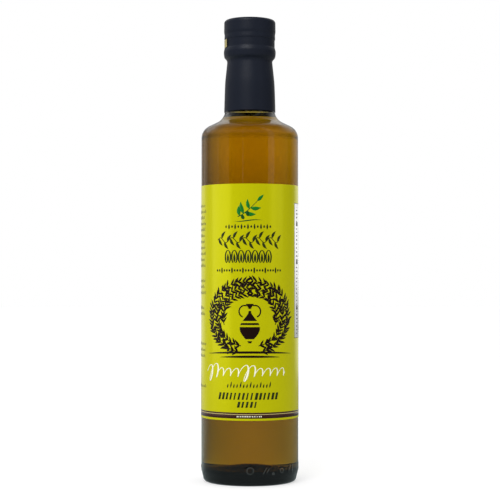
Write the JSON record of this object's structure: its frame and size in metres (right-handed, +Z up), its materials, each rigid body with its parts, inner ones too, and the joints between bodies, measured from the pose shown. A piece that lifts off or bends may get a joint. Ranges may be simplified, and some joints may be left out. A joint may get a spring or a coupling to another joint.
{
  "type": "olive oil bottle",
  "caption": "Tall round glass bottle of golden olive oil with a low round shoulder, a short neck under a black shrink capsule with a gold tear tab, and a yellow-green wrap label.",
  "frame": {"origin": "centre of the bottle's base, on the surface it stands on", "axes": "+Z up along the bottle's axis; the middle of the label faces -Y; +X to the right as seen from the front"},
  "size_m": [0.0618, 0.0619, 0.2898],
  "materials": {
    "bottle_glass": "smooth clear glass with a grey-green tint that turns the thick foot nearly black",
    "olive_oil": "clear golden amber liquid",
    "capsule_film": "black shrink film with a soft satin sheen",
    "gold_tape": "pale gold metallised tape, satin",
    "label_paper": "coated paper, yellow-green with dark print, lightly glossy"
  },
  "bodies": {
    "root": {"bottle_glass": "bottle_glass", "olive_oil": "olive_oil", "capsule": "capsule_film", "tear_tab": "gold_tape", "label": "label_paper"}
  },
  "joints": []
}
